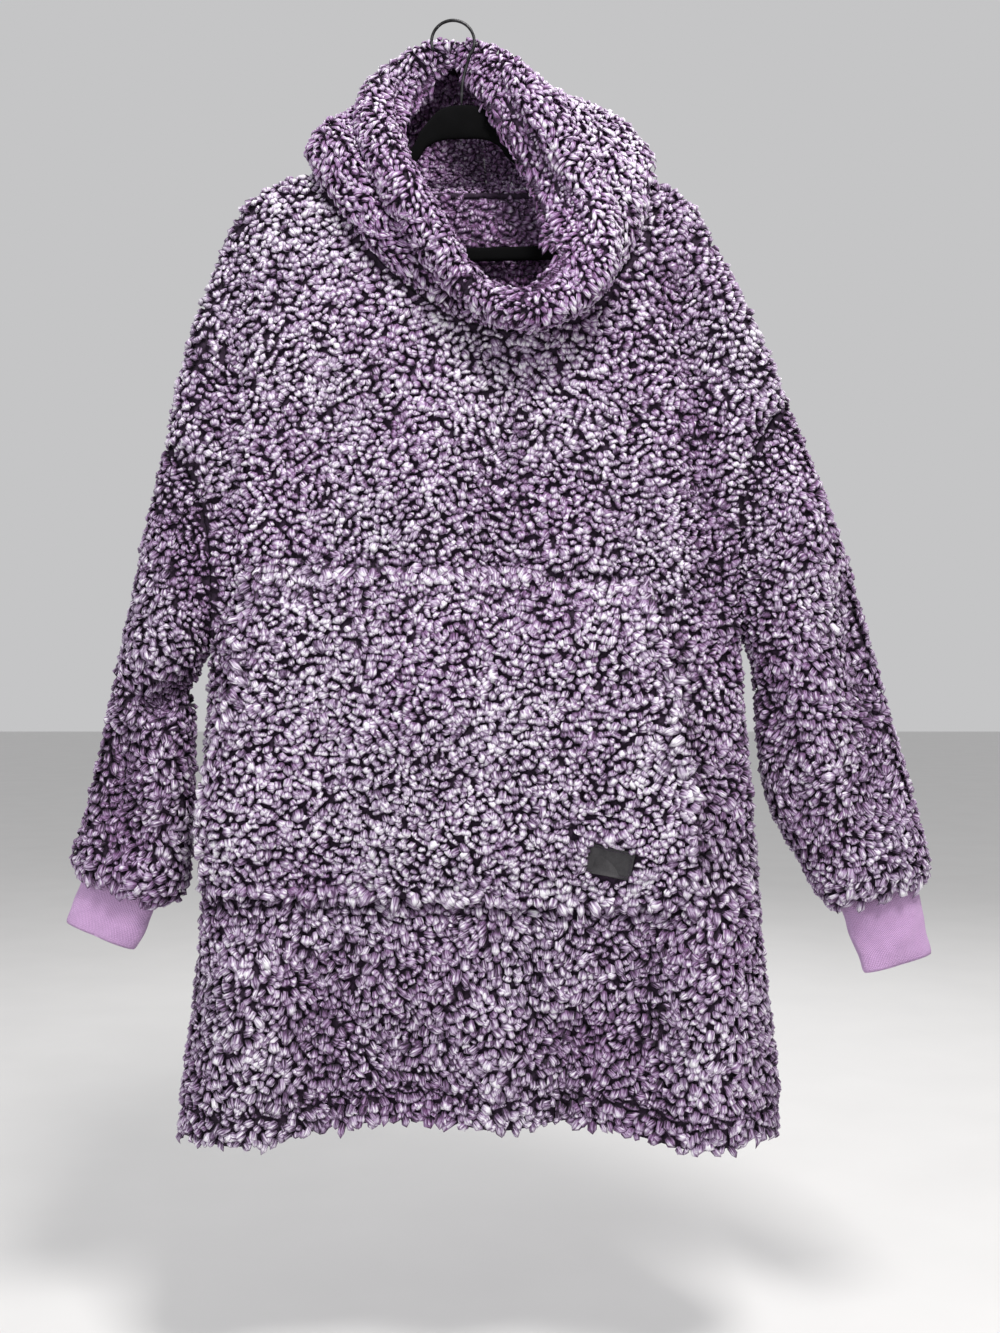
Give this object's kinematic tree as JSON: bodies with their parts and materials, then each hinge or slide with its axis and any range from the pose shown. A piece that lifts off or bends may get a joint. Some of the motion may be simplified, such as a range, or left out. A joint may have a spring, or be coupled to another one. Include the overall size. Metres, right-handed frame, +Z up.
{
  "type": "wearable blanket hoodie on a clothes hanger",
  "caption": "Oversized frosted sherpa hoodie with cowl hood, kangaroo pocket and rib cuffs, hung by a flocked hanger.",
  "frame": {"origin": "inside top of the hanger's hook, where a rail or peg holds it", "axes": "+X to the wearer's left, -Y out of the garment's front, +Z up"},
  "size_m": [0.8649, 0.1801, 1.1161],
  "materials": {
    "sherpa": "curly frosted pile",
    "rib": "fine rib knit",
    "leather": "matt, stitched edge",
    "velvet": "flocked",
    "wire": "dark plated steel"
  },
  "bodies": {
    "root": {"front": "sherpa", "back": "sherpa", "sleeve_right": "sherpa", "sleeve_left": "sherpa", "hood_right": "sherpa", "hood_left": "sherpa", "pocket": "sherpa", "cuff_right": "rib", "cuff_left": "rib", "patch": "leather", "hanger": "velvet", "hanger_hook": "wire"}
  },
  "joints": []
}
